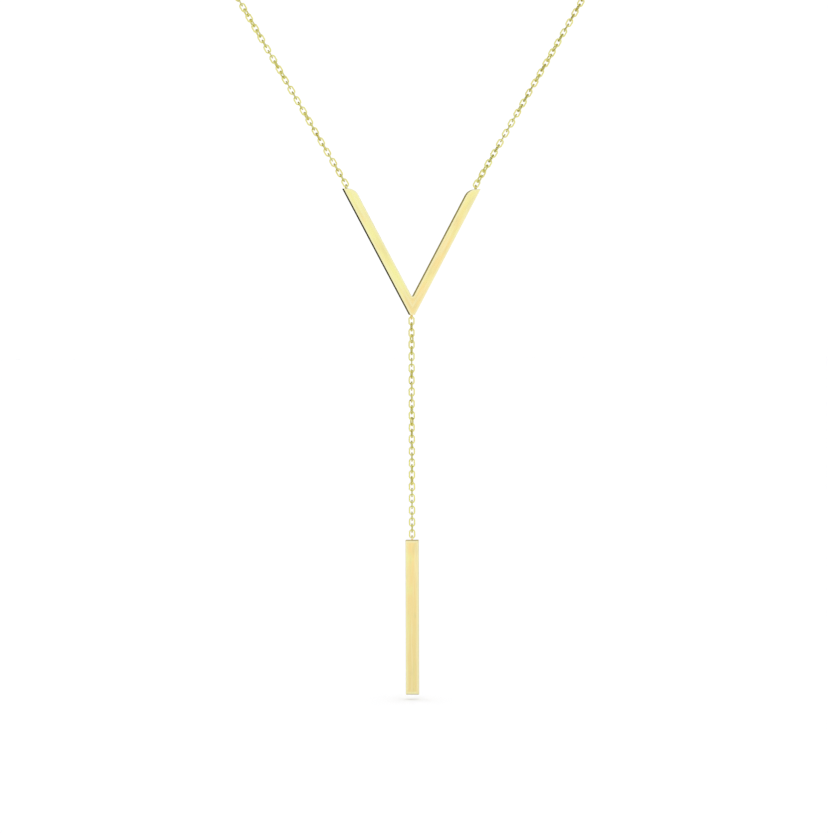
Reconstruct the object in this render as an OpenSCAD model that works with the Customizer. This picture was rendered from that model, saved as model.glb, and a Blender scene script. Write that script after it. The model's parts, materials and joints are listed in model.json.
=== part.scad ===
// Y necklace: a fine cable chain that carries a V-shaped bar, and a long bar on a short drop chain.
// The origin is at the nape, on the side of the clasp that lies against the neck.
// +Z is up, the front faces -Y, and left and right are as seen from the front, so left is -X.

/* [V bar] */
// Width across the outer corners of the V's level top ends
v_width = 28.2; // [26:0.1:32]
// Height from the level top ends to the blunt tip
v_height = 25.2; // [22:0.1:28]
// Width of one leg, square to its length
v_leg_width = 2; // [1.8:0.1:2.8]
// Thickness of the V from front to back
v_thickness = 1.5; // [1.3:0.1:2]
// Width of the blunt tip
v_tip_width = 0.9; // [0.8:0.1:1.6]
// Radius of the rounded inner corner at the top of each leg
v_corner_radius = 2.2; // [0.6:0.1:2.4]
// How far in from the outer corners the side rings are soldered
v_ring_inset = 0.75; // [0.6:0.05:0.9]
// How far behind the middle of the thickness the V's rings are soldered
v_ring_back = 0.3; // [0:0.05:0.4]

/* [Drop bar] */
// Length of the hanging bar
bar_length = 31; // [20:0.2:45]
// Width of the hanging bar
bar_width = 2.6; // [2:0.1:4]
// Thickness of the hanging bar
bar_thickness = 1.4; // [1:0.1:1.8]
// Turn of the hanging bar about its own length, as it settles on its twisted chain
bar_turn = -18; // [-30:1:30]

/* [Chain] */
// Diameter of the links' wire
wire_d = 0.3; // [0.28:0.01:0.34]
// Width of a link over its wire
link_width = 1.3; // [1.25:0.05:1.5]
// Distance from one link to the next
link_pitch = 1.185; // [1.1:0.005:1.3]
// Clearance between a link and the next one that it passes through
link_gap = 0.12; // [0.11:0.01:0.14]
// Links in the drop chain, an odd number, so that the first and last face the front
drop_links = 37; // [21:2:51]
// Links in the straight front stretch of each side strand
front_links = 40; // [30:2:44]
// Diameter of the small rings that are soldered to the bars and the clasp, over their wire
ring_d = 1.2; // [1.18:0.02:1.3]

/* [Loop] */
// Lean of each side strand from the vertical, where it leaves the V
strand_lean = 30.8; // [28:0.1:33]
// Height of the nape above the V's top ends
nape_height = 100; // [90:1:110]
// Distance from the nape forward to the middle of the V's thickness
nape_depth = 98; // [90:1:106]
// How far each strand carries on upwards before it turns back round the neck
front_reach = 50; // [35:1:60]
// How far each strand bows out sideways from the nape
nape_reach = 55; // [40:1:60]

/* [Clasp] */
// Outer diameter of the clasp's ring
clasp_d = 5.5; // [5:0.1:7]
// Thickness of the clasp's ring
clasp_wire_d = 1.1; // [0.9:0.1:1.4]

/* [Hidden] */
gold = [0.93, 0.80, 0.45];
$fn = 32;

// Depth to which a soldered ring is sunk, and the bevel along the bars' edges
solder = 0.25;
edge = 0.12;

// Ring and link sizes that follow from the wire
ring_radius = (ring_d - wire_d) / 2;
ring_stand = ring_d / 2 - solder;
bend_radius = (link_width - wire_d) / 2;
link_length = link_pitch + 2 * wire_d + link_gap;
link_reach = (link_length - wire_d) / 2;

// From one wire's middle to the next where a link hangs, and on to the middle of the link
hook = wire_d + link_gap;
hang = link_reach - hook;

// The V stands upright, with its tip below its top ends
v_lean = atan((v_width - v_tip_width) / 2 / v_height);
v_top_z = -nape_height;
v_tip_z = v_top_z - v_height;
ring_y = v_ring_back - nape_depth;
side_ring_x = v_width / 2 - v_ring_inset;
side_ring_z = v_top_z + ring_stand;

// The drop chain hangs from the ring under the tip, and the bar from its last link
drop_ring_z = v_tip_z - ring_stand;
first_link_z = drop_ring_z - ring_radius - hang;
pivot_z = first_link_z - (drop_links - 1) * link_pitch - link_reach;
bar_ring_z = pivot_z + hook - ring_radius;
bar_top_z = bar_ring_z - ring_stand;

// The strands' front stretches are straight, and the tubes start just past their last link
straight_run = hang + (front_links - 1) * link_pitch + link_length / 2 + link_gap;
strand_way = [sin(strand_lean), 0, cos(strand_lean)];
strand_start = [side_ring_x, ring_y, side_ring_z + ring_radius];

// The clasp's ring lies flat against the neck, with a small ring on each side
clasp_y = clasp_wire_d / 2;
clasp_ring_x = clasp_d / 2 + ring_stand;
tube_end = [clasp_ring_x + ring_d / 2 + 2 * link_gap, clasp_y, 0];

// The tubes that stand for the strands' fine links round the neck
tube_d = 1.2;
tube_sides = 8;
tube_rings = 40;
bend_start = strand_start + straight_run * strand_way;
back_curve = [
    bend_start,
    bend_start + front_reach * strand_way,
    tube_end + [nape_reach, 0, 0],
    tube_end,
];
// A direction that no part of the curve runs along, to set the tube's rings square to it
across = [1, 0, -1];

function unit(v) = v / norm(v);

// Point of a smooth curve with the given control points, at t from 0 to 1
function curve_point(p, t) =
    len(p) == 1 ? p[0] : curve_point([for (i = [0:len(p) - 2]) p[i] + (p[i + 1] - p[i]) * t], t);

// Direction of the curve at t, taken over a short step
function curve_way(p, t) = unit(curve_point(p, t + 0.001) - curve_point(p, t - 0.001));

// One ring of points round the curve
function tube_ring(p, t) =
    let (
        centre = curve_point(p, t),
        side = unit(cross(curve_way(p, t), across)),
        up = cross(side, curve_way(p, t))
    )
    [for (i = [0:tube_sides - 1])
        centre + tube_d / 2 * (cos(360 * i / tube_sides) * side + sin(360 * i / tube_sides) * up)];

// Cross-section of a bar, with bevelled edges
module bar_section(width, thickness) {
    x = width / 2;
    y = thickness / 2;
    polygon([
        [x, edge - y], [x, y - edge], [x - edge, y], [edge - x, y],
        [-x, y - edge], [-x, edge - y], [edge - x, -y], [x - edge, -y],
    ]);
}

// A small closed ring, flat in the XZ plane
module small_ring() {
    rotate([90, 0, 0])
        rotate_extrude()
            translate([ring_radius, 0])
                circle(d = wire_d);
}

// One link, upright and flat in the XZ plane: two bends joined by two straight sides
module link() {
    side_length = link_length - link_width;
    for (turn = [0, 180])
        rotate([0, turn, 0]) {
            translate([0, 0, side_length / 2])
                rotate([90, 0, 0])
                    rotate_extrude(angle = 180)
                        translate([bend_radius, 0])
                            circle(d = wire_d);
            translate([bend_radius, 0, -side_length / 2])
                cylinder(d = wire_d, h = side_length);
        }
}

// A straight run of links up the Z axis, each a quarter turn from the last, with a slow twist
module link_run(count, twist) {
    for (i = [0:count - 1])
        translate([0, 0, i * link_pitch])
            rotate([0, 0, 90 * i + twist * i / count])
                link();
}

// Cuts the corner at the origin to a round, between the +X side and the side that leans down
module corner_cut(radius, lean) {
    reach = radius * tan((90 - lean) / 2);
    depth = 2 * v_thickness;
    rotate([90, 0, 0])
        translate([0, 0, -depth / 2])
            difference() {
                linear_extrude(depth)
                    polygon([
                        [-reach, reach],
                        [reach, reach],
                        [reach, -radius],
                        [-reach * sin(lean), -reach * cos(lean)],
                        [-reach * (1 + sin(lean)), -reach * cos(lean)],
                    ]);
                translate([reach, -radius, -1])
                    cylinder(r = radius, h = depth + 2, $fn = 48);
            }
}

// The right leg of the V, with the tip's level end at height 0
module v_leg() {
    leg_length = 2 * v_height;
    inner_x = v_width / 2 - v_leg_width / cos(v_lean);
    difference() {
        intersection() {
            translate([v_tip_width / 2, 0, 0])
                rotate([0, v_lean, 0])
                    translate([-v_leg_width / 2, 0, -leg_length / 4])
                        linear_extrude(leg_length)
                            bar_section(v_leg_width, v_thickness);
            translate([0, -v_thickness, 0])
                cube([v_width, 2 * v_thickness, v_height]);
        }
        translate([inner_x, 0, v_height])
            corner_cut(v_corner_radius, v_lean);
    }
}

// The V-shaped bar, with the rings for the strands and the drop chain soldered upright to its ends
module v_bar() {
    color(gold) {
        translate([0, -nape_depth, v_tip_z]) {
            v_leg();
            mirror([1, 0, 0])
                v_leg();
        }
        for (place = [[-side_ring_x, side_ring_z], [side_ring_x, side_ring_z], [0, drop_ring_z]])
            translate([place.x, ring_y, place.y])
                rotate([0, 0, 90])
                    small_ring();
    }
}

// The chain between the V's tip and the hanging bar
module drop_chain() {
    color(gold)
        translate([0, ring_y, first_link_z])
            mirror([0, 0, 1])
                link_run(drop_links, bar_turn);
}

// The hanging bar, with its ring soldered upright across its top
module drop_bar() {
    color(gold)
        translate([0, ring_y, bar_top_z])
            rotate([0, 0, bar_turn]) {
                translate([0, 0, -bar_length])
                    intersection() {
                        linear_extrude(bar_length)
                            bar_section(bar_width, bar_thickness);
                        translate([-bar_width, 0, bar_length / 2])
                            rotate([0, 90, 0])
                                linear_extrude(2 * bar_width)
                                    bar_section(bar_length, bar_thickness);
                        translate([0, bar_width, bar_length / 2])
                            rotate([90, 0, 0])
                                linear_extrude(2 * bar_width)
                                    bar_section(bar_width, bar_length);
                    }
                translate([0, 0, ring_stand])
                    rotate([0, 0, 90])
                        small_ring();
            }
}

// The straight front stretch of the right strand, from the V's ring upwards
module front_strand() {
    color(gold)
        translate(strand_start)
            rotate([0, strand_lean, 0])
                translate([0, 0, hang])
                    link_run(front_links, 0);
}

// The right strand's way back round the neck, as a plain round tube
module back_strand() {
    rings = [for (i = [0:tube_rings - 1]) each tube_ring(back_curve, i / (tube_rings - 1))];
    last = (tube_rings - 1) * tube_sides;
    walls = [
        for (i = [0:tube_rings - 2], j = [0:tube_sides - 1])
            let (k = (j + 1) % tube_sides)
            [for (p = [j, k, k + tube_sides, j + tube_sides]) i * tube_sides + p]
    ];
    caps = [
        [for (j = [tube_sides - 1:-1:0]) j],
        [for (j = [0:tube_sides - 1]) last + j],
    ];
    color(gold)
        polyhedron(points = rings, faces = concat(walls, caps), convexity = 6);
}

module chain_right() {
    front_strand();
}

module chain_left() {
    mirror([1, 0, 0])
        front_strand();
}

module chain_right_back() {
    back_strand();
}

module chain_left_back() {
    mirror([1, 0, 0])
        back_strand();
}

// The closed ring clasp at the nape, with its thumb tab and a small ring for each strand
module clasp() {
    ring_centre = (clasp_d - clasp_wire_d) / 2;
    tab_d = 0.7;
    tab_length = 1.1;
    color(gold)
        translate([0, clasp_y, 0]) {
            rotate([90, 0, 0])
                rotate_extrude()
                    translate([ring_centre, 0])
                        circle(d = clasp_wire_d);
            rotate([0, 45, 0])
                translate([0, 0, ring_centre])
                    cylinder(d = tab_d, h = tab_length);
            for (x = [-clasp_ring_x, clasp_ring_x])
                translate([x, 0, 0])
                    small_ring();
        }
}

v_bar();
drop_chain();
drop_bar();
clasp();
chain_left();
chain_right();
chain_left_back();
chain_right_back();
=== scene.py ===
import json
import math
import random
from contextlib import contextmanager
from types import SimpleNamespace

import bmesh
import bpy
from bpy.props import FloatProperty, FloatVectorProperty, IntProperty, PointerProperty
from bpy.types import Operator, Panel, PropertyGroup
from mathutils import Euler, Matrix, Quaternion, Vector
from mathutils.geometry import interpolate_bezier


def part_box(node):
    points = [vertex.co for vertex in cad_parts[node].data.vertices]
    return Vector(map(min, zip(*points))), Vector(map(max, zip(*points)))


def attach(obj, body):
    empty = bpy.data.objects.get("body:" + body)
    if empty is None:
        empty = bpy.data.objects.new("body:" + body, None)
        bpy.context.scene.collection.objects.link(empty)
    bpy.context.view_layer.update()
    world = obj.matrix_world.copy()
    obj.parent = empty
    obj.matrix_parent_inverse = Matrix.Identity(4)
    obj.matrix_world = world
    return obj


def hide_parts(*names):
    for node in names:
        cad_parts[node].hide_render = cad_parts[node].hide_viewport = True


bl_info = {
    "name": "Y Necklace",
    "version": (1, 0, 0),
    "blender": (4, 5, 0),
    "location": "3D View > Sidebar > Y Necklace",
    "description": "Models a Y necklace with a V-shaped bar, a hanging bar, cable chain and a ring clasp",
    "category": "Object",
}

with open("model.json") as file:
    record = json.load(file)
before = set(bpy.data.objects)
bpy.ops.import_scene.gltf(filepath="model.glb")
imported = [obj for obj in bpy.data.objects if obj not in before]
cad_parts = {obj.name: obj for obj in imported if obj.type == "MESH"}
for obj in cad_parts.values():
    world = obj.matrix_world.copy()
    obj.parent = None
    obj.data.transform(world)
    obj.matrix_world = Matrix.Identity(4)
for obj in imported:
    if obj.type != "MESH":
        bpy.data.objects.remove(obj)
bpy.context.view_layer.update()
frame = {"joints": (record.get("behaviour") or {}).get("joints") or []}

MM = 0.001
V_LOW, V_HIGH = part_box("v_bar")
PIVOT = Vector(frame["joints"][0]["pos_m"])
BACKWARDS = Vector((0, 1, 0))
UPWARDS = Vector((0, 0, 1))

# The photograph's frame in pixels, and the size of a pixel at the V
PHOTO_WIDTH = 828
PHOTO_HEIGHT = 833
PIXEL_SIZE = 0.0002

# How near a vertex lies to a place that it is picked by, in millimetres
NEAR = 0.01

# Corners sharper than this are rounded, and stay crisp in the shading
SHARP = math.radians(35)

# Half sizes of the solder beads in millimetres: sideways, front to back and upwards
BAR_BEAD = (0.27, 0.5, 0.13)
CLASP_BEAD = (0.16, 0.25, 0.42)
CLASP_BEAD_INSET = 0.03

# Depths below a bar's face, in millimetres, between which a vertex belongs to the rounded edge
RIM_DEPTHS = (0.001, 0.06)

# Seeds of the small turns and the tones of the links in each chain
SEEDS = {
    "drop_chain": 11,
    "chain_right": 23,
    "chain_left": 37,
    "chain_right_back": 41,
    "chain_left_back": 53,
}

# Places in metres between which the bars' colour changes: a painted warm reflection from left to right and
# towards the V's tip and below it, and painted shade towards the hanging bar's lower end
WARM_REFLECTION_ACROSS = (-0.004, 0.004)
WARM_REFLECTION_HEIGHTS = (-0.125, -0.118)
SHADED_END_HEIGHTS = (-0.201, -0.168)

# The clasp's tone, a little warmer than the links, whose tones go from 0 to 1
CLASP_TONE = 1.2


def length(name, description, default):
    return FloatProperty(name=name, description=description, default=default, unit="LENGTH", precision=5)


def angle(name, description, degrees):
    default = math.radians(degrees)
    return FloatProperty(name=name, description=description, default=default, subtype="ANGLE")


def colour(name, description, default):
    return FloatVectorProperty(
        name=name, description=description, default=default, subtype="COLOR", min=0, max=1
    )


class VBarSettings(PropertyGroup):
    """Sizes of the V-shaped bar."""

    width: length("Width", "Across the outer corners of the level top ends", round(V_HIGH.x - V_LOW.x, 5))
    height: length("Height", "From the level top ends to the blunt tip", 0.0252)
    leg_width: length("Leg width", "Width of one leg, square to its length", 0.002)
    thickness: length("Thickness", "From front to back", 0.0015)
    tip_width: length("Tip width", "Width of the blunt tip", 0.0009)
    corner_radius: length("Corner radius", "Round of the inner corner at the top of each leg", 0.0022)
    ring_inset: length("Ring inset", "From the outer corners in to the side rings", 0.00075)
    ring_back: length("Ring set-back", "From the middle of the thickness back to the rings", 0.0003)


class DropBarSettings(PropertyGroup):
    """Sizes of the long hanging bar."""

    long: length("Length", "Length of the hanging bar", 0.031)
    width: length("Width", "Width of the hanging bar", 0.0026)
    thickness: length("Thickness", "From front to back", 0.0014)
    turn: angle("Turn", "Turn about its own length, as it settles on its chain", -18)


class PolishSettings(PropertyGroup):
    """How the polishing has softened the bars."""

    edge_radius: length("Edge radius", "Round of the bars' polished edges", 0.00005)
    notch_reach: length("Notch reach", "How far up each leg the V's inner corner is rounded", 0.00065)
    crown_width: length("Crown width", "How far in from its edges a bar's face falls away", 0.00055)
    crown: length("Crown", "How far a bar's face falls away at its edges", 0.00002)
    end_chamfer: length("End chamfer", "Chamfer across the faces at the hanging bar's ends", 0.00018)


class ChainSettings(PropertyGroup):
    """Sizes of the chain, and of the small rings that it hangs from."""

    wire: length("Wire", "Diameter of the links' wire", 0.0003)
    link_width: length("Link width", "Width of a link over its wire", 0.0013)
    pitch: length("Pitch", "From one link to the next", 0.001185)
    gap: length("Gap", "Between a link and the next one that it passes through", 0.00012)
    ring: length("Ring", "Diameter of the small soldered rings over their wire", 0.0012)
    solder: length("Solder depth", "How deep a ring is sunk into what it is soldered to", 0.00025)
    drop_links: IntProperty(name="Drop links", description="Links in the drop chain", default=37, min=3)
    front_links: IntProperty(
        name="Front links", description="Links in each straight front stretch", default=40, min=3
    )
    back_links: IntProperty(
        name="Back links", description="Links from each front stretch to the clasp", default=126, min=3
    )
    flat: length("Flat", "Width of the flat that is pressed along each side of the wire", 0.00022)
    flat_thickness: length("Flat thickness", "Thickness of the wire between its flats", 0.00025)
    play: angle("Play", "Most that a link turns away from a quarter turn to its neighbour", 17)
    sides: IntProperty(name="Sides", description="Sides of a link's outline", default=12, min=8)


class LoopSettings(PropertyGroup):
    """The way of the side strands round the neck."""

    lean: angle("Lean", "Lean of each strand from the vertical, where it leaves the V", 30.8)
    front_reach: length("Front reach", "How far each strand carries on before it turns back", 0.05)
    nape_reach: length("Nape reach", "How far each strand bows out sideways from the nape", 0.055)


class ClaspSettings(PropertyGroup):
    """Sizes of the ring clasp."""

    ring: length("Ring", "Outer diameter of the clasp's ring", 0.0055)
    wire: length("Thickness", "Thickness of the clasp's ring", 0.0011)
    tab: length("Tab", "Diameter of the thumb tab", 0.0007)
    tab_reach: length("Tab reach", "Length of the thumb tab from the middle of the ring's wire", 0.0011)


class GoldSettings(PropertyGroup):
    """Colours of the gold finish."""

    lemon: colour("Lemon", "The plating's main tone", (0.93, 0.89, 0.37))
    # The warm tone, for random patches and for the painted warm reflection on the right leg, the tip and
    # below it
    warm: colour("Warm", "The plating's warmer patches", (0.97, 0.77, 0.33))
    # The dulled tone of the clouds, also used as painted shade at the hanging bar's lower end
    dull_and_shade: colour("Dull", "Clouds where the polish has dulled", (0.82, 0.705, 0.33))
    # A pale tone, painted as a highlight along the bars' edges and also used in thin streaks on their
    # faces
    pale_highlight: colour("Worn", "Edges and streaks that handling has brightened", (0.95, 0.91, 0.56))
    wire: colour("Wire", "The drawn wire of the links", (0.81, 0.80, 0.29))
    wire_warm: colour("Warm wire", "The warmer links among them", (0.85, 0.75, 0.27))
    grazing: colour("Grazing tint", "Tint of what the gold mirrors nearly edge-on", (1.0, 0.95, 0.5))


class StageSettings(PropertyGroup):
    """Camera, floor and light."""

    azimuth: angle("Azimuth", "How far the camera stands round to the right of the front", -14)
    elevation: angle("Elevation", "Height of the camera above the horizon", 1)
    distance: length("Distance", "From the camera to the V", 0.9)
    look_z: length("Look height", "Height at which the camera looks", -0.1455)
    look_right: length("Look aside", "How far right of the V's middle the camera looks", 0.000185)
    roll: angle("Roll", "Turn of the camera about its line of sight", -0.16)
    floor_gap: length("Floor gap", "From the hanging bar's lower end down to the floor", 0.001)
    floor_size: length("Floor size", "Width of the floor", 30)
    floor: colour("Floor", "Colour of the floor", (0.95, 0.95, 0.95))
    tent: colour("Tent", "Colour of the light tent that the metal reflects", (0.98, 0.98, 1.0))
    backdrop: FloatProperty(name="Backdrop", description="Strength of the white behind", default=1.03)
    overhead: FloatProperty(name="Overhead", description="Strength of the light above", default=1.8)
    spread: angle("Spread", "How wide the light above is, as the floor sees it", 90)


def in_mm(settings):
    """The lengths of a settings group in millimetres, and its other values as they are."""
    values = {}
    for name, kind in settings.bl_rna.properties.items():
        if name not in ("rna_type", "name"):
            value = getattr(settings, name)
            values[name] = value / MM if kind.unit == "LENGTH" else value
    return SimpleNamespace(**values)


def ring_sizes(chain):
    """Radius of a soldered ring's middle line, and how far its centre stands off its seat."""
    return (chain.ring - chain.wire) / 2, chain.ring / 2 - chain.solder


def link_sizes(chain):
    """Length of a link, its half length to the wire's middle, and how it hangs from the one before."""
    long = chain.pitch + 2 * chain.wire + chain.gap
    reach = (long - chain.wire) / 2
    hook = chain.wire + chain.gap
    return SimpleNamespace(long=long, reach=reach, hook=hook, hang=reach - hook)


def deselect_all():
    bpy.ops.object.select_all(action="DESELECT")


def activate(obj):
    deselect_all()
    obj.select_set(True)
    bpy.context.view_layer.objects.active = obj


@contextmanager
def editing(obj, part):
    """Edit mode on one object, with nothing selected, picking vertices, edges or faces."""
    activate(obj)
    bpy.ops.object.mode_set(mode="EDIT")
    bpy.ops.mesh.select_mode(type=part)
    bpy.ops.mesh.select_all(action="DESELECT")
    yield
    bpy.ops.object.mode_set(mode="OBJECT")


def pick_vertices(obj, test):
    """Selects the vertices whose place passes the test, and the edges and faces between them."""
    mesh = bmesh.from_edit_mesh(obj.data)
    for vertex in mesh.verts:
        vertex.select = test(vertex.co)
    mesh.select_flush_mode()
    bmesh.update_edit_mesh(obj.data)


def pick_edges(obj, test):
    """Selects the edges of which both ends pass the test."""
    mesh = bmesh.from_edit_mesh(obj.data)
    for edge in mesh.edges:
        edge.select_set(all(test(vertex.co) for vertex in edge.verts))
    bmesh.update_edit_mesh(obj.data)


def pick_faces(obj, test):
    """Selects the faces whose normal passes the test."""
    mesh = bmesh.from_edit_mesh(obj.data)
    for face in mesh.faces:
        face.select_set(test(face.normal))
    bmesh.update_edit_mesh(obj.data)


def bisect(obj, place, normal, fill, keep_front):
    """Cuts the mesh at a plane and keeps one side."""
    with editing(obj, "FACE"):
        bpy.ops.mesh.select_all(action="SELECT")
        bpy.ops.mesh.bisect(
            plane_co=place, plane_no=normal, use_fill=fill,
            clear_inner=keep_front, clear_outer=not keep_front,
        )


def apply_modifier(obj, kind, **values):
    """Adds a modifier with the given values and applies it."""
    activate(obj)
    bpy.ops.object.modifier_add(type=kind)
    modifier = obj.modifiers[-1]
    for name, value in values.items():
        setattr(modifier, name, value)
    bpy.ops.object.modifier_apply(modifier=modifier.name)


def fuse(obj, tool):
    """Fuses the tool into the object as one solid, and removes the tool."""
    apply_modifier(obj, "BOOLEAN", operation="UNION", solver="EXACT", object=tool)
    bpy.data.objects.remove(tool)


def apply_transform(obj):
    activate(obj)
    bpy.ops.object.transform_apply(location=True, rotation=True, scale=True)


def small_ring(chain, centre, edge_on):
    """A small ring of the chain's wire, edge-on to the front or facing it."""
    radius, _ = ring_sizes(chain)
    rotation = (0, math.pi / 2, 0) if edge_on else (math.pi / 2, 0, 0)
    deselect_all()
    bpy.ops.mesh.primitive_torus_add(
        major_radius=radius, minor_radius=chain.wire / 2, major_segments=28, minor_segments=10,
        location=centre, rotation=rotation,
    )
    return bpy.context.object


def solder_bead(centre, half_sizes):
    """A low bead of solder round a ring's foot."""
    deselect_all()
    bpy.ops.mesh.primitive_uv_sphere_add(
        segments=20, ring_count=12, radius=1, location=centre, scale=half_sizes
    )
    return bpy.context.object


def crown_faces(bar, polish):
    """Lets the front and back faces fall away a little towards their edges, as polishing leaves them."""
    square_on = 0.99
    with editing(bar, "FACE"):
        pick_faces(bar, lambda normal: abs(normal.y) > square_on)
        bpy.ops.mesh.inset(thickness=polish.crown_width, depth=polish.crown)


def round_edges(bar, polish):
    apply_modifier(
        bar, "BEVEL", width=polish.edge_radius, segments=3, limit_method="ANGLE", angle_limit=SHARP
    )


def smooth(obj):
    """Smooth shading that keeps large faces flat and sharp edges sharp."""
    activate(obj)
    bpy.ops.object.shade_smooth_by_angle(angle=SHARP)
    apply_modifier(obj, "WEIGHTED_NORMAL", keep_sharp=True, weight=80)


def map_polish(obj, along, across):
    """A UV map in centimetres that runs along and across a bar, for streaks that follow the polishing."""
    centimetre = 10
    layer = obj.data.uv_layers.new(name="polish")
    for loop in obj.data.loops:
        place = obj.data.vertices[loop.vertex_index].co
        layer.data[loop.index].uv = (across(place) / centimetre, along(place) / centimetre)
    layer.active = True


def mark_rims(obj, thickness):
    """An attribute for the painted highlight and the rougher edges, 1 at the edges of a bar's faces and 0
    on the faces and walls.
    """
    shallow, deep = RIM_DEPTHS
    rim = obj.data.attributes.new("rim", "FLOAT", "POINT")
    for vertex in obj.data.vertices:
        depth = thickness / 2 - abs(vertex.co.y)
        rim.data[vertex.index].value = 1.0 if shallow < depth < deep else 0.0


def set_tone(obj, tone):
    """An attribute for the wire's colour, the same all over the mesh."""
    attribute = obj.data.attributes.new("tone", "FLOAT", "POINT")
    attribute.data.foreach_set("value", [tone] * len(obj.data.vertices))


def to_place(obj, move, turn=0):
    """Brings a piece from millimetres to metres, to its place, with its object at the origin."""
    obj.matrix_world = Matrix.Translation(move) @ Matrix.Rotation(turn, 4, "Z") @ Matrix.Scale(MM, 4)
    apply_transform(obj)


def hand_over(scene, obj, name, body, slot, node):
    """Names a finished piece, gives it its slot's finish and lets it stand for its node."""
    obj.name = name
    obj.data.name = name
    obj.data.materials.clear()
    obj.data.materials.append(FINISHES[slot](scene.necklace_gold))
    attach(obj, body)
    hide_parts(node)


class Nodes:
    """A node tree, whose nodes are added and joined by name."""

    def __init__(self, tree):
        self.tree = tree

    def add(self, kind, values=(), **settings):
        """A node with its settings, and input values or links by the inputs' names or numbers."""
        node = self.tree.nodes.new("ShaderNode" + kind)
        for name, value in settings.items():
            setattr(node, name, value)
        for socket, value in dict(values).items():
            self.put(node.inputs[socket], value)
        return node

    def put(self, socket, value):
        """Links an output to a socket, or sets the socket's own value."""
        if isinstance(value, bpy.types.NodeSocket):
            self.tree.links.new(value, socket)
        else:
            socket.default_value = value

    def noise(self, vector, scale, detail):
        return self.add("TexNoise", {"Vector": vector, "Scale": scale, "Detail": detail}).outputs["Fac"]

    def streaks(self, vector, across, along, detail=2.0):
        """Noise with one scale across a bar and another along it."""
        drawn_out = self.add("Mapping", {"Vector": vector, "Scale": (across, along, 1)}).outputs[0]
        return self.noise(drawn_out, 1.0, detail)

    def ramp(self, value, span, to=(0.0, 1.0)):
        """Maps a value from one range to another, with soft ends."""
        node = self.add(
            "MapRange",
            {"Value": value, "From Min": span[0], "From Max": span[1], "To Min": to[0], "To Max": to[1]},
            interpolation_type="SMOOTHSTEP",
        )
        return node.outputs[0]

    def mix(self, share, first, second):
        """Blends two colours."""
        node = self.add("Mix", data_type="RGBA")
        self.put(node.inputs[0], share)
        self.put(node.inputs[6], first)
        self.put(node.inputs[7], second)
        return node.outputs[2]

    def math(self, operation, *values):
        return self.add("Math", enumerate(values), operation=operation).outputs[0]

    def bands(self, value, stops):
        """A strength for each value from the first stop to the last, with soft changes between stops."""
        (low, first), *inner, (high, last) = stops
        share = self.add("MapRange", {"Value": value, "From Min": low, "From Max": high}).outputs[0]
        node = self.add("ValToRGB", {"Fac": share})
        node.color_ramp.interpolation = "EASE"
        elements = node.color_ramp.elements
        elements[0].color = grey(first)
        elements[1].color = grey(last)
        for place, strength in inner:
            elements.new((place - low) / (high - low)).color = grey(strength)
        return node.outputs["Color"]

    def bump(self, height, strength, distance, normal=None):
        values = {"Height": height, "Strength": strength, "Distance": distance}
        if normal is not None:
            values["Normal"] = normal
        return self.add("Bump", values).outputs[0]


class Shader(Nodes):
    """The nodes of one material."""

    def __init__(self, name):
        self.material = bpy.data.materials.get(name) or bpy.data.materials.new(name)
        self.material.use_nodes = True
        super().__init__(self.material.node_tree)
        self.surface = self.tree.nodes["Principled BSDF"]

    def set(self, **values):
        """Inputs of the surface, named with underscores."""
        for name, value in values.items():
            self.put(self.surface.inputs[name.replace("_", " ").title()], value)


def opaque(value):
    """A setting's colour with full alpha."""
    return (*value, 1.0)


def grey(strength):
    return (strength, strength, strength, 1.0)


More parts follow.
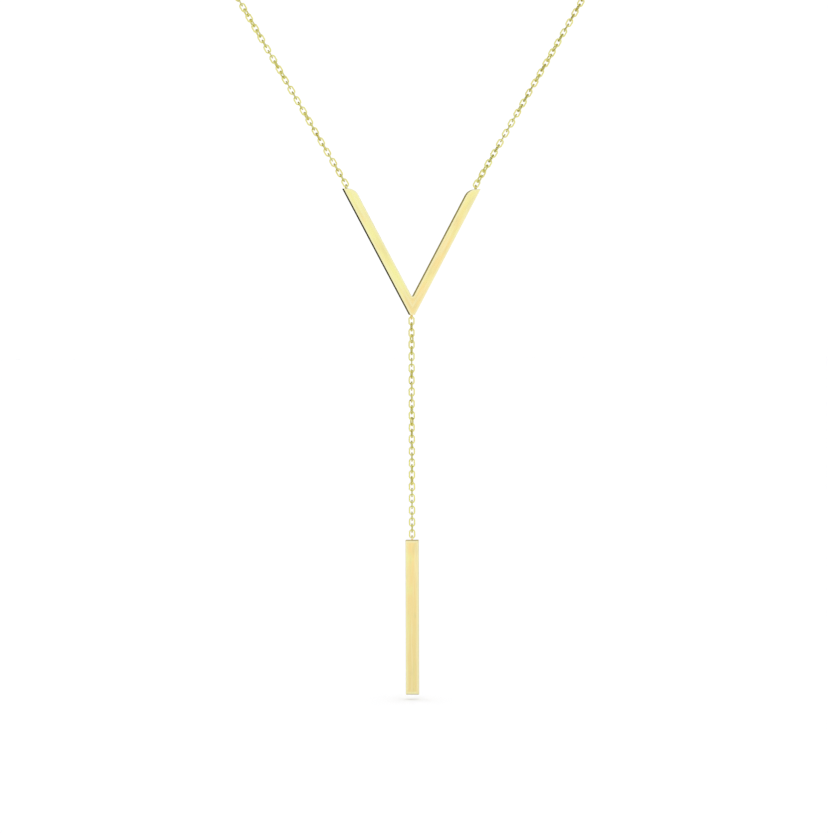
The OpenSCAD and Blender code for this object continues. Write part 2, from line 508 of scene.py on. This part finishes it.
def polished_gold(gold):
    """Mirror-polished gold plating with polishing streaks, tone patches, dulled clouds, a painted warm
    reflection, a painted shaded end and painted edge highlights.
    """
    shader = Shader("polished_gold")
    if shader.material.get("finished"):
        return shader.material
    uv = shader.add("UVMap", uv_map="polish").outputs[0]
    rim = shader.add("Attribute", attribute_name="rim").outputs["Fac"]
    place = shader.add("TexCoord").outputs["Object"]
    across, _, height = shader.add("SeparateXYZ", {0: place}).outputs

    # Small patches of tone and streaks along the polishing, and a painted warm reflection on the right
    # leg, the tip and below it
    patches = shader.noise(place, scale=240, detail=1.0)
    mottle = shader.math("ADD", patches, shader.streaks(uv, across=9, along=0.35))
    warm_reflection_right = shader.ramp(across, WARM_REFLECTION_ACROSS, to=(-0.3, 0.12))
    warm_reflection_tip = shader.ramp(height, WARM_REFLECTION_HEIGHTS, to=(0.45, 0.0))
    painted_reflection_drift = shader.math("ADD", warm_reflection_right, warm_reflection_tip)
    tone = shader.ramp(shader.math("ADD", mottle, painted_reflection_drift), (0.75, 1.35))
    body = shader.mix(tone, opaque(gold.lemon), opaque(gold.warm))
    # Thin clouds drawn out along the polishing, and painted shade at the hanging bar's lower end
    clouds = shader.ramp(shader.streaks(uv, across=7, along=2.2), (0.44, 0.7), to=(0.0, 0.55))
    painted_shade_end = shader.ramp(height, SHADED_END_HEIGHTS, to=(0.42, 0.0))
    body = shader.mix(shader.math("MAXIMUM", clouds, painted_shade_end), body, opaque(gold.dull_and_shade))
    # A painted highlight along the edges, and the same pale tone in thin streaks along the face
    edges = shader.math("MULTIPLY", rim, 0.8)
    pale_streaks = shader.ramp(shader.streaks(uv, across=16, along=0.9), (0.45, 0.7), to=(0.0, 0.45))
    body = shader.mix(shader.math("MAXIMUM", edges, pale_streaks), body, opaque(gold.pale_highlight))
    shader.set(base_color=body, metallic=1.0, specular_tint=opaque(gold.grazing))

    # Rougher edges, a faint cloud where fingers have touched, and hairline scratches along the polishing
    hairlines = shader.streaks(uv, across=260, along=6, detail=3.0)
    scratched = shader.ramp(hairlines, (0.5, 0.8), to=(0.0, 0.05))
    touched = shader.ramp(shader.noise(place, scale=420, detail=3.0), (0.45, 0.75), to=(0.0, 0.05))
    edge_haze = shader.ramp(rim, (0, 1), to=(0.07, 0.14))
    shader.set(roughness=shader.math("ADD", edge_haze, shader.math("ADD", touched, scratched)))

    # The slow waves of a hand-polished face, and the hairlines' own relief
    waves = shader.bump(shader.noise(place, scale=160, detail=1.0), strength=0.25, distance=0.00004)
    shader.set(normal=shader.bump(hairlines, strength=0.12, distance=0.000002, normal=waves))
    shader.material["finished"] = True
    return shader.material


def chain_gold(gold):
    """Bright drawn wire, each link a little lighter or warmer than the next, with a fine mottling."""
    shader = Shader("chain_gold")
    if shader.material.get("finished"):
        return shader.material
    place = shader.add("TexCoord").outputs["Object"]
    mottle = shader.noise(place, scale=2600, detail=2.0)
    tone = shader.add("Attribute", attribute_name="tone").outputs["Fac"]
    warmth = shader.math("MULTIPLY", tone, 0.55)
    share = shader.math("ADD", warmth, shader.ramp(mottle, (0.4, 0.7), to=(0.0, 0.35)))
    body = shader.mix(share, opaque(gold.wire), opaque(gold.wire_warm))
    shader.set(base_color=body, metallic=1.0, specular_tint=opaque(gold.grazing))
    shader.set(roughness=shader.ramp(mottle, (0.3, 0.7), to=(0.10, 0.22)))
    shader.set(normal=shader.bump(mottle, strength=0.15, distance=0.000006))
    shader.material["finished"] = True
    return shader.material


# The finish of each of the record's material slots
FINISHES = {"polished_gold": polished_gold, "chain_gold": chain_gold}


class YNECKLACE_OT_v_bar(Operator):
    """Model the V-shaped bar with its three soldered rings"""

    bl_idname = "y_necklace.v_bar"
    bl_label = "V Bar"

    def execute(self, context):
        scene = context.scene
        size = in_mm(scene.necklace_v)
        chain = in_mm(scene.necklace_chain)
        polish = in_mm(scene.necklace_polish)
        lean = math.atan((size.width - size.tip_width) / 2 / size.height)
        v_bar = self.plate(size, polish, lean)
        crown_faces(v_bar, polish)
        round_edges(v_bar, polish)
        # The last term along keeps the two legs' streaks unlike
        map_polish(
            v_bar,
            along=lambda p: abs(p.x) * math.sin(lean) + p.z * math.cos(lean) + p.x / 2,
            across=lambda p: abs(p.x) * math.cos(lean) - p.z * math.sin(lean) + p.y,
        )
        mark_rims(v_bar, size.thickness)
        _, stand = ring_sizes(chain)
        side_x = size.width / 2 - size.ring_inset
        feet = [(-side_x, size.height, 1), (side_x, size.height, 1), (0, 0, -1)]
        for x, z, up in feet:
            fuse(v_bar, solder_bead((x, size.ring_back, z), BAR_BEAD))
            fuse(v_bar, small_ring(chain, (x, size.ring_back, z + up * stand), edge_on=True))
        smooth(v_bar)
        middle_y = V_LOW.y + size.thickness / 2 * MM
        tip_z = V_LOW.z + (chain.ring - chain.solder) * MM
        to_place(v_bar, (0, middle_y, tip_z))
        hand_over(scene, v_bar, "polished_v_bar", "necklace", "polished_gold", "v_bar")
        return {"FINISHED"}

    def plate(self, size, polish, lean):
        """The plain V, with the tip's level end at height 0 and the middle of its thickness at y 0."""
        long = 2 * size.height
        corner = Vector((size.tip_width / 2, 0, 0))
        middle = corner + Euler((0, lean, 0)).to_matrix() @ Vector((-size.leg_width / 2, 0, long / 4))
        deselect_all()
        bpy.ops.mesh.primitive_cube_add(
            size=1, location=middle, rotation=(0, lean, 0),
            scale=(size.leg_width, size.thickness - 2 * polish.crown, long),
        )
        leg = bpy.context.object
        apply_transform(leg)
        bisect(leg, (0, 0, 0), (0, 0, 1), fill=True, keep_front=True)
        bisect(leg, (0, 0, size.height), (0, 0, 1), fill=True, keep_front=False)
        bisect(leg, (0, 0, 0), (1, 0, 0), fill=False, keep_front=True)
        self.round_corner(leg, size, lean)
        apply_modifier(leg, "MIRROR", merge_threshold=0.001)
        with editing(leg, "FACE"):
            bpy.ops.mesh.select_all(action="SELECT")
            bpy.ops.mesh.dissolve_limited(angle_limit=math.radians(1))
        with editing(leg, "EDGE"):
            pick_edges(leg, lambda place: abs(place.x) < NEAR and place.z > size.tip_width)
            bpy.ops.mesh.bevel(offset=polish.notch_reach, segments=6, affect="EDGES")
        return leg

    def round_corner(self, leg, size, lean):
        """Rounds the inner corner at the top of the leg."""
        inner = Vector((size.width / 2 - size.leg_width / math.cos(lean), 0, size.height))
        reach = size.corner_radius * math.tan((math.pi / 2 - lean) / 2)
        with editing(leg, "EDGE"):
            pick_edges(leg, lambda place: math.hypot(place.x - inner.x, place.z - inner.z) < NEAR)
            bpy.ops.mesh.bevel(offset=reach, segments=8, affect="EDGES")


class YNECKLACE_OT_drop_bar(Operator):
    """Model the long hanging bar with its soldered ring"""

    bl_idname = "y_necklace.drop_bar"
    bl_label = "Hanging Bar"

    def execute(self, context):
        scene = context.scene
        size = in_mm(scene.necklace_bar)
        chain = in_mm(scene.necklace_chain)
        polish = in_mm(scene.necklace_polish)
        deselect_all()
        bpy.ops.mesh.primitive_cube_add(
            size=1, location=(0, 0, -size.long / 2),
            scale=(size.width, size.thickness - 2 * polish.crown, size.long),
        )
        bar = bpy.context.object
        apply_transform(bar)
        self.chamfer_ends(bar, size, polish)
        crown_faces(bar, polish)
        round_edges(bar, polish)
        map_polish(bar, along=lambda p: p.z, across=lambda p: p.x + p.y)
        mark_rims(bar, size.thickness)
        radius, stand = ring_sizes(chain)
        fuse(bar, solder_bead((0, 0, 0), BAR_BEAD))
        fuse(bar, small_ring(chain, (0, 0, stand), edge_on=True))
        smooth(bar)
        top = PIVOT + (link_sizes(chain).hook - radius - stand) * MM * UPWARDS
        to_place(bar, top, size.turn)
        hand_over(scene, bar, "polished_drop_bar", "hanging_bar", "polished_gold", "drop_bar")
        return {"FINISHED"}

    def chamfer_ends(self, bar, size, polish):
        """Chamfers the edges that run across the front and back of both ends."""
        for end in (0, -size.long):
            for side in (-1, 1):
                with editing(bar, "EDGE"):
                    pick_edges(bar, lambda place: abs(place.z - end) < NEAR and place.y * side > 0)
                    bpy.ops.mesh.bevel(offset=polish.end_chamfer, segments=1, affect="EDGES")


def model_link(chain):
    """One link, upright in the XZ plane: a ring of wire with flat sides, drawn out into an oval."""
    # Half a step of turn, so that two of the outline's sides run straight up
    half_step = math.pi / chain.sides
    middle = (chain.link_width - chain.wire) / 2 / math.cos(half_step)
    deselect_all()
    bpy.ops.mesh.primitive_torus_add(
        major_radius=middle, minor_radius=chain.wire / 2, major_segments=chain.sides, minor_segments=6,
        rotation=(math.pi / 2, half_step, 0),
    )
    link = bpy.context.object
    apply_transform(link)
    # The six-sided wire's upper and lower corners move out to the flats' edges and in to their thickness
    flatten = chain.flat_thickness / chain.wire / math.sin(math.pi / 3)
    for side in (-1, 1):
        spread = (middle + side * chain.flat / 2) / (middle + side * chain.wire / 4)
        with editing(link, "VERT"):
            pick_vertices(
                link, lambda p: abs(p.y) > chain.wire / 4 and (math.hypot(p.x, p.z) - middle) * side > 0
            )
            bpy.ops.transform.resize(value=(spread, flatten, spread), center_override=(0, 0, 0))
    draw = (link_sizes(chain).long - chain.link_width) / 2
    for end in (-1, 1):
        with editing(link, "VERT"):
            pick_vertices(link, lambda place: place.z * end > 0)
            bpy.ops.transform.translate(value=(0, 0, end * draw))
    return link


def stand_along(way, face, turn):
    """The turn that stands a link along a way with its opening to the face, and then turns it about it."""
    across = face.cross(way).normalized()
    upright = Matrix((across, way.cross(across), way)).transposed()
    return (Matrix.Rotation(turn, 3, way) @ upright).to_4x4()


def looseness(index, count, play, dice):
    """A link's own small turn, none at the two ends of a run, so that they still hold what they hook."""
    return dice.uniform(-play, play) if 0 < index < count - 1 else 0.0


def string_links(link, stations, dice):
    """One fused run of links, a copy of the link at each station, each with a tone of its own."""
    copies = []
    for centre, turn in stations:
        copy = link.copy()
        copy.data = link.data.copy()
        bpy.context.scene.collection.objects.link(copy)
        copy.matrix_world = Matrix.Translation(centre) @ turn
        set_tone(copy, dice.random())
        copies.append(copy)
    activate(copies[0])
    for copy in copies:
        copy.select_set(True)
    bpy.ops.object.join()
    run = bpy.context.object
    apply_transform(run)
    activate(run)
    bpy.ops.object.shade_smooth()
    apply_modifier(run, "WEIGHTED_NORMAL", weight=90)
    return run


def hand_over_run(scene, link, stations, dice, name, node):
    """Strings a run of links and lets it stand for its node."""
    run = string_links(link, stations, dice)
    to_place(run, (0, 0, 0))
    hand_over(scene, run, name, "necklace", "chain_gold", node)


class YNECKLACE_OT_drop_chain(Operator):
    """Model the chain between the V's tip and the hanging bar"""

    bl_idname = "y_necklace.drop_chain"
    bl_label = "Drop Chain"

    def execute(self, context):
        scene = context.scene
        chain = in_mm(scene.necklace_chain)
        twist = scene.necklace_bar.turn
        dice = random.Random(SEEDS["drop_chain"])
        pivot = PIVOT / MM
        last_z = pivot.z + link_sizes(chain).reach
        link = model_link(chain)
        stations = []
        for index in range(chain.drop_links):
            centre = Vector((0, pivot.y, last_z + (chain.drop_links - 1 - index) * chain.pitch))
            turn = index * (math.pi / 2 + twist / chain.drop_links)
            turn += looseness(index, chain.drop_links, chain.play, dice)
            stations.append((centre, Matrix.Rotation(turn, 4, "Z")))
        hand_over_run(scene, link, stations, dice, "drop_chain_links", "drop_chain")
        bpy.data.objects.remove(link)
        return {"FINISHED"}


def strand_line(scene):
    """Start and way of the right strand in millimetres, as it leaves the V's ring."""
    v_size = in_mm(scene.necklace_v)
    chain = in_mm(scene.necklace_chain)
    radius, stand = ring_sizes(chain)
    top_z = V_HIGH.z / MM - chain.ring + chain.solder
    start = Vector((v_size.width / 2 - v_size.ring_inset, PIVOT.y / MM, top_z + stand + radius))
    lean = scene.necklace_loop.lean
    return start, Vector((math.sin(lean), 0, math.cos(lean)))


def mirrored(stations):
    """The same stations on the left."""
    flip = Matrix.Scale(-1, 4, (1, 0, 0))
    return [(Vector((-centre.x, centre.y, centre.z)), flip @ turn @ flip) for centre, turn in stations]


class YNECKLACE_OT_front_chains(Operator):
    """Model the straight front stretches of the side strands"""

    bl_idname = "y_necklace.front_chains"
    bl_label = "Front Chains"

    def execute(self, context):
        scene = context.scene
        chain = in_mm(scene.necklace_chain)
        start, way = strand_line(scene)
        link = model_link(chain)
        for side in ("right", "left"):
            node = "chain_" + side
            dice = random.Random(SEEDS[node])
            stations = []
            for index in range(chain.front_links):
                centre = start + (link_sizes(chain).hang + index * chain.pitch) * way
                turn = index * math.pi / 2 + looseness(index, chain.front_links, chain.play, dice)
                stations.append((centre, stand_along(way, BACKWARDS, turn)))
            if side == "left":
                stations = mirrored(stations)
            hand_over_run(scene, link, stations, dice, side + "_front_links", node)
        bpy.data.objects.remove(link)
        return {"FINISHED"}


def path_stations(points, face, first, last, count):
    """Places evenly spaced on a line of points, each with its way and the face, carried without twist."""
    ways = [(b - a).normalized() for a, b in zip(points, points[1:])]
    faces = [face]
    for way, next_way in zip(ways, ways[1:]):
        faces.append(way.rotation_difference(next_way) @ faces[-1])
    walked = [0.0]
    for a, b in zip(points, points[1:]):
        walked.append(walked[-1] + (b - a).length)
    found = []
    step = 0
    for index in range(count):
        distance = first + (walked[-1] + last - first) * index / (count - 1)
        while step < len(ways) - 1 and walked[step + 1] < distance:
            step += 1
        found.append((points[step] + (distance - walked[step]) * ways[step], ways[step], faces[step]))
    return found


class YNECKLACE_OT_back_chains(Operator):
    """Model the side strands' way back round the neck to the clasp"""

    bl_idname = "y_necklace.back_chains"
    bl_label = "Back Chains"

    # Points of the line that the links follow
    CURVE_POINTS = 600

    def execute(self, context):
        scene = context.scene
        chain = in_mm(scene.necklace_chain)
        line = self.way_round(scene, chain)
        untwist = self.untwist(line[-1], chain)
        link = model_link(chain)
        for side in ("right", "left"):
            node = "chain_" + side + "_back"
            dice = random.Random(SEEDS[node])
            stations = []
            for index, (centre, along, face) in enumerate(line):
                turn = (chain.front_links + index) * math.pi / 2 + untwist * index / (chain.back_links - 1)
                turn += looseness(index, chain.back_links, chain.play, dice)
                stations.append((centre, stand_along(along, face, turn)))
            if side == "left":
                stations = mirrored(stations)
            hand_over_run(scene, link, stations, dice, side + "_back_links", node)
        bpy.data.objects.remove(link)
        return {"FINISHED"}

    def way_round(self, scene, chain):
        """The stations of the right strand's links, from its front stretch to the clasp's ring."""
        loop = in_mm(scene.necklace_loop)
        clasp = in_mm(scene.necklace_clasp)
        start, way = strand_line(scene)
        sizes = link_sizes(chain)
        radius, stand = ring_sizes(chain)
        last_front = sizes.hang + (chain.front_links - 1) * chain.pitch
        bend = start + (last_front + sizes.long / 2 + chain.gap) * way
        end_x = clasp.ring / 2 + stand + radius - sizes.hook + sizes.reach
        end = Vector((end_x, clasp.wire / 2, 0))
        bowed = end + Vector((loop.nape_reach, 0, 0))
        points = interpolate_bezier(bend, bend + loop.front_reach * way, bowed, end, self.CURVE_POINTS)
        first = chain.pitch - sizes.long / 2 - chain.gap
        return path_stations(points, BACKWARDS, first, 0.0, chain.back_links)

    def untwist(self, last, chain):
        """The turn to spread over the run, so that its last link is square to the clasp's side ring."""
        _, along, face = last
        turn = (chain.front_links + chain.back_links - 1) * math.pi / 2
        opening = Matrix.Rotation(turn, 3, along) @ face
        amount = math.atan2(opening.cross(UPWARDS).dot(along), opening.dot(UPWARDS))
        return (amount + math.pi / 2) % math.pi - math.pi / 2


class YNECKLACE_OT_clasp(Operator):
    """Model the ring clasp at the nape"""

    bl_idname = "y_necklace.clasp"
    bl_label = "Clasp"

    def execute(self, context):
        scene = context.scene
        size = in_mm(scene.necklace_clasp)
        chain = in_mm(scene.necklace_chain)
        middle = (size.ring - size.wire) / 2
        _, stand = ring_sizes(chain)
        deselect_all()
        bpy.ops.mesh.primitive_torus_add(
            major_radius=middle, minor_radius=size.wire / 2, major_segments=72, minor_segments=24,
            rotation=(math.pi / 2, 0, 0),
        )
        clasp = bpy.context.object
        apply_transform(clasp)
        fuse(clasp, self.tab(size, middle))
        for side in (-1, 1):
            fuse(clasp, solder_bead((side * (size.ring / 2 - CLASP_BEAD_INSET), 0, 0), CLASP_BEAD))
            fuse(clasp, small_ring(chain, (side * (size.ring / 2 + stand), 0, 0), edge_on=False))
        set_tone(clasp, CLASP_TONE)
        activate(clasp)
        bpy.ops.object.shade_smooth_by_angle(angle=math.radians(50))
        to_place(clasp, (0, size.wire / 2 * MM, 0))
        hand_over(scene, clasp, "ring_clasp", "necklace", "chain_gold", "clasp")
        return {"FINISHED"}

    def tab(self, size, middle):
        """The round-ended thumb tab, up and to the right of the ring."""
        lean = math.pi / 4
        way = Vector((math.sin(lean), 0, math.cos(lean)))
        deselect_all()
        bpy.ops.mesh.primitive_cylinder_add(
            vertices=20, radius=size.tab / 2, depth=size.tab_reach, rotation=(0, lean, 0),
            location=(middle + size.tab_reach / 2) * way,
        )
        tab = bpy.context.object
        apply_transform(tab)
        with editing(tab, "EDGE"):
            pick_edges(tab, lambda place: place.dot(way) > middle + size.tab_reach - NEAR)
            bpy.ops.mesh.bevel(offset=size.tab / 4, segments=4, affect="EDGES")
        return tab


def aim(obj, target):
    """Points an object's -Z side at a target."""
    obj.rotation_mode = "QUATERNION"
    obj.rotation_quaternion = (Vector(target) - obj.location).to_track_quat("-Z", "Y")


class YNECKLACE_OT_stage(Operator):
    """Set the floor, the studio light and the camera"""

    bl_idname = "y_necklace.stage"
    bl_label = "Stage"

    # Strength of the tent by degrees round from the front, the right positive
    TENT_ROUND = (
        (-180, 1.0), (-160, 0.8), (-135, 1.0), (-90, 0.95), (-45, 1.0),
        (45, 1.0), (90, 0.95), (135, 1.0), (160, 0.8), (180, 1.0),
    )
    # Strength of the tent by the sine of the height. The dark spot straight below gives the chamfer at the
    # hanging bar's lower end its line
    TENT_UP = (
        (-1.0, 0.35), (-0.985, 0.45), (-0.965, 0.9), (-0.5, 0.95), (-0.2, 1.0),
        (-0.085, 0.92), (-0.04, 1.0), (0.45, 1.0), (0.7, 0.6), (1.0, 0.5),
    )
    # Dark flags, of which those behind darken the V's walls: degrees round from the front, the sine of the
    # height from bottom to top, and the share of light that they let past
    FLAGS = (
        ((-176, -163), (-0.22, -0.05), 0.03),
        ((-190, -161), (0.02, 0.40), 0.31),
        ((161, 190), (0.02, 0.40), 0.31),
        ((-114, -98), (-0.11, 0.9), 0.15),
        ((-82, -46), (-0.11, 0.9), 0.15),
        ((46, 82), (-0.11, 0.9), 0.15),
    )
    # Softness of the flags' edges, in degrees at their sides and as a sine at their top and bottom
    SOFT_ROUND = 2
    SOFT_UP = 0.03

    def execute(self, context):
        scene = context.scene
        stage = scene.necklace_stage
        self.camera(scene, stage)
        self.floor(stage)
        self.surround(scene, stage)
        self.overhead(scene, stage)
        scene.view_settings.view_transform = "Standard"
        return {"FINISHED"}

    def camera(self, scene, stage):
        """The camera at the photograph's viewing angle, with its frame."""
        camera = bpy.data.objects.new("camera", bpy.data.cameras.new("camera"))
        scene.collection.objects.link(camera)
        side = stage.azimuth
        rise = stage.elevation
        back = Vector((math.sin(side) * math.cos(rise), -math.cos(side) * math.cos(rise), math.sin(rise)))
        right = Vector((math.cos(side), math.sin(side), 0))
        target = Vector((0, V_LOW.y, stage.look_z)) + stage.look_right * right
        camera.location = target + stage.distance * back
        aim(camera, target)
        camera.rotation_quaternion @= Quaternion((0, 0, 1), stage.roll)
        frame_side = max(PHOTO_WIDTH, PHOTO_HEIGHT) * PIXEL_SIZE
        camera.data.lens = camera.data.sensor_width * stage.distance / frame_side
        camera.data.clip_start = 0.01
        camera.data.clip_end = 100
        scene.camera = camera

    def floor(self, stage):
        """A plain pale floor just below the hanging bar, which the metal doesn't mirror."""
        deselect_all()
        bar_low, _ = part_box("drop_bar")
        bpy.ops.mesh.primitive_plane_add(
            size=stage.floor_size, location=(0, 0, bar_low.z - stage.floor_gap)
        )
        floor = bpy.context.object
        floor.name = "floor"
        shader = Shader("pale_floor")
        shader.set(base_color=opaque(stage.floor), roughness=0.9)
        floor.data.materials.append(shader.material)
        floor.visible_glossy = False

    def surround(self, scene, stage):
        """A light tent with dark flags, which the metal mirrors, while the camera sees plain white."""
        world = bpy.data.worlds.new("studio")
        scene.world = world
        world.use_nodes = True
        nodes = Nodes(world.node_tree)
        x, y, z = nodes.add("SeparateXYZ", {0: nodes.add("TexCoord").outputs["Generated"]}).outputs
        turn = nodes.math("DEGREES", nodes.math("ARCTAN2", x, nodes.math("MULTIPLY", y, -1.0)))
        strength = nodes.math("MULTIPLY", nodes.bands(turn, self.TENT_ROUND), nodes.bands(z, self.TENT_UP))
        for around, upright, share in self.FLAGS:
            sideways = self.between(nodes, turn, around, self.SOFT_ROUND)
            flag = nodes.math("MULTIPLY", sideways, self.between(nodes, z, upright, self.SOFT_UP))
            passed = nodes.math("SUBTRACT", 1.0, nodes.math("MULTIPLY", flag, 1 - share))
            strength = nodes.math("MULTIPLY", strength, passed)
        tent = nodes.add("Background", {"Color": opaque(stage.tent), "Strength": strength}).outputs[0]
        plain = nodes.add("Background", {"Color": grey(1.0), "Strength": stage.backdrop}).outputs[0]
        seen = nodes.add("LightPath").outputs["Is Camera Ray"]
        both = nodes.add("MixShader", {0: seen, 1: tent, 2: plain}).outputs[0]
        nodes.put(world.node_tree.nodes["World Output"].inputs["Surface"], both)

    def between(self, nodes, value, ends, soft):
        """1 where the value lies between the two ends and 0 outside, with soft edges."""
        low, high = ends
        past_low = nodes.ramp(value, (low - soft, low + soft))
        past_high = nodes.ramp(value, (high - soft, high + soft))
        return nodes.math("SUBTRACT", past_low, past_high)

    def overhead(self, scene, stage):
        """A wide light straight above, which the metal doesn't mirror."""
        sun = bpy.data.lights.new("overhead", "SUN")
        sun.energy = stage.overhead
        sun.angle = stage.spread
        lamp = bpy.data.objects.new("overhead", sun)
        scene.collection.objects.link(lamp)
        lamp.visible_camera = False
        lamp.visible_glossy = False


class YNECKLACE_PT_panel(Panel):
    """Sizes, colours and steps of the necklace"""

    bl_idname = "YNECKLACE_PT_panel"
    bl_label = "Y Necklace"
    bl_space_type = "VIEW_3D"
    bl_region_type = "UI"
    bl_category = "Y Necklace"

    def draw(self, context):
        for operator in STEPS:
            self.layout.operator(operator.bl_idname)
        for name, group in GROUPS.items():
            box = self.layout.box()
            box.label(text=group.__doc__.rstrip("."))
            settings = getattr(context.scene, name)
            for value in group.__annotations__:
                box.prop(settings, value)


GROUPS = {
    "necklace_v": VBarSettings,
    "necklace_bar": DropBarSettings,
    "necklace_polish": PolishSettings,
    "necklace_chain": ChainSettings,
    "necklace_loop": LoopSettings,
    "necklace_clasp": ClaspSettings,
    "necklace_gold": GoldSettings,
    "necklace_stage": StageSettings,
}
STEPS = (
    YNECKLACE_OT_v_bar,
    YNECKLACE_OT_drop_bar,
    YNECKLACE_OT_drop_chain,
    YNECKLACE_OT_front_chains,
    YNECKLACE_OT_back_chains,
    YNECKLACE_OT_clasp,
    YNECKLACE_OT_stage,
)
CLASSES = (*GROUPS.values(), *STEPS, YNECKLACE_PT_panel)


def register():
    for item in CLASSES:
        bpy.utils.register_class(item)
    for name, group in GROUPS.items():
        setattr(bpy.types.Scene, name, PointerProperty(type=group))


def unregister():
    for name in GROUPS:
        delattr(bpy.types.Scene, name)
    for item in reversed(CLASSES):
        bpy.utils.unregister_class(item)


def main():
    register()
    bpy.ops.y_necklace.v_bar()
    bpy.ops.y_necklace.drop_bar()
    bpy.ops.y_necklace.drop_chain()
    bpy.ops.y_necklace.front_chains()
    bpy.ops.y_necklace.back_chains()
    bpy.ops.y_necklace.clasp()
    bpy.ops.y_necklace.stage()


if __name__ == "__main__":
    main()
